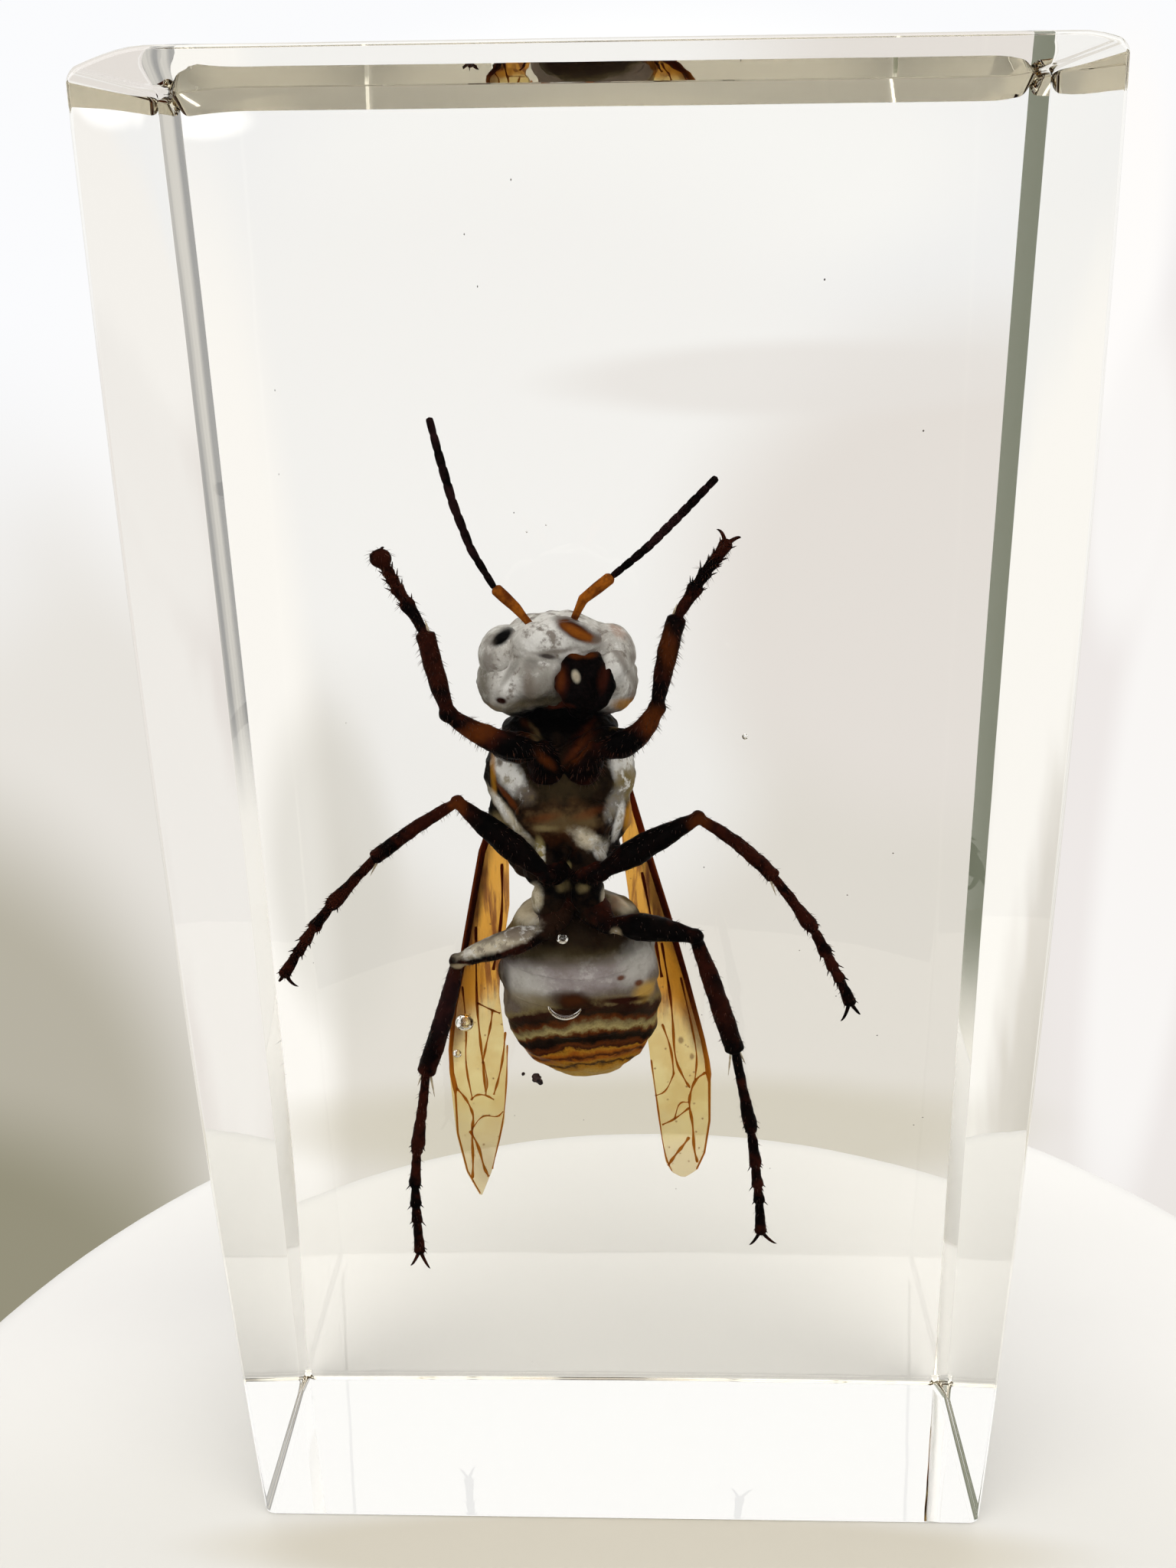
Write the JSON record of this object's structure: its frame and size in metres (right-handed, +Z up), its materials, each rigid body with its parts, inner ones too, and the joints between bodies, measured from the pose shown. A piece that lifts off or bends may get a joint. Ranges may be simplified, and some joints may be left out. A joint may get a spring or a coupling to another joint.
{
  "type": "insect in resin block",
  "caption": "Hornet worker cast in an upright rectangular block of clear resin with rounded edges, shown from its underside.",
  "frame": {"origin": "middle of the end face that the block stands on", "axes": "+Z up the block's length towards the insect's antennae, +Y through its thickness from the insect's underside to its back, +X to the right as seen from the underside"},
  "size_m": [0.0408, 0.02, 0.073],
  "materials": {
    "resin": "polished clear casting resin, very slightly yellow",
    "chitin": "dry insect shell, dark chestnut, with silvery air film in places"
  },
  "bodies": {
    "root": {"resin_front": "resin", "resin_back": "resin", "hornet": "chitin"}
  },
  "joints": []
}
